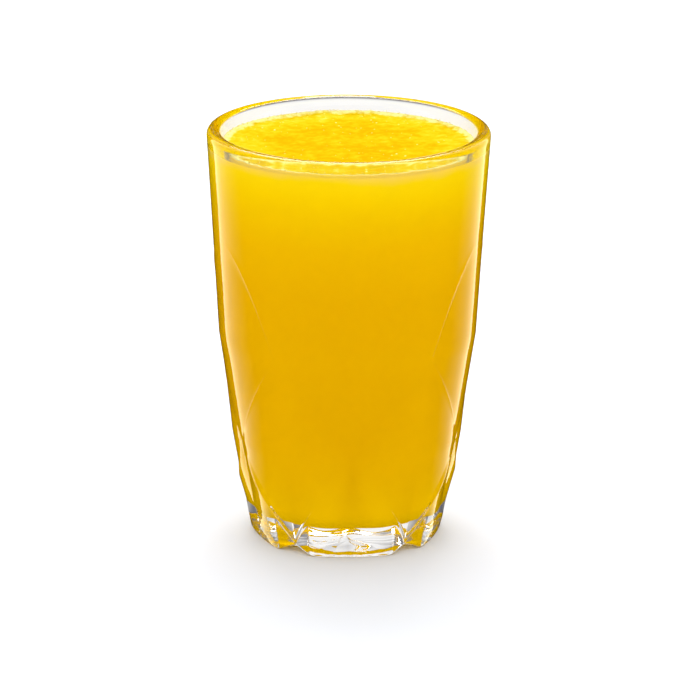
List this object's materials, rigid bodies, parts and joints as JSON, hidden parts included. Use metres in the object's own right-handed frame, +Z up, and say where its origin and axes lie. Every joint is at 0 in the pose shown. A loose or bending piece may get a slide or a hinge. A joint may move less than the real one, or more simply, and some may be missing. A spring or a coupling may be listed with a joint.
{
  "type": "glass of orange juice",
  "caption": "Clear pressed-glass tumbler with shallow diamond facets and a heavy lobed base, filled to just under its rounded rim with cloudy orange juice.",
  "frame": {"origin": "centre of the foot on the surface the glass stands on", "axes": "+Z up along the axis of the glass; the middle of one lobe of the base faces -Y, and +X is to the right when it is seen from that side"},
  "size_m": [0.0808, 0.0808, 0.12],
  "materials": {
    "clear_glass": "clear, colourless and glossy",
    "orange_juice": "opaque cloudy liquid with a soft sheen"
  },
  "bodies": {
    "root": {"glass": "clear_glass", "juice": "orange_juice"}
  },
  "joints": []
}
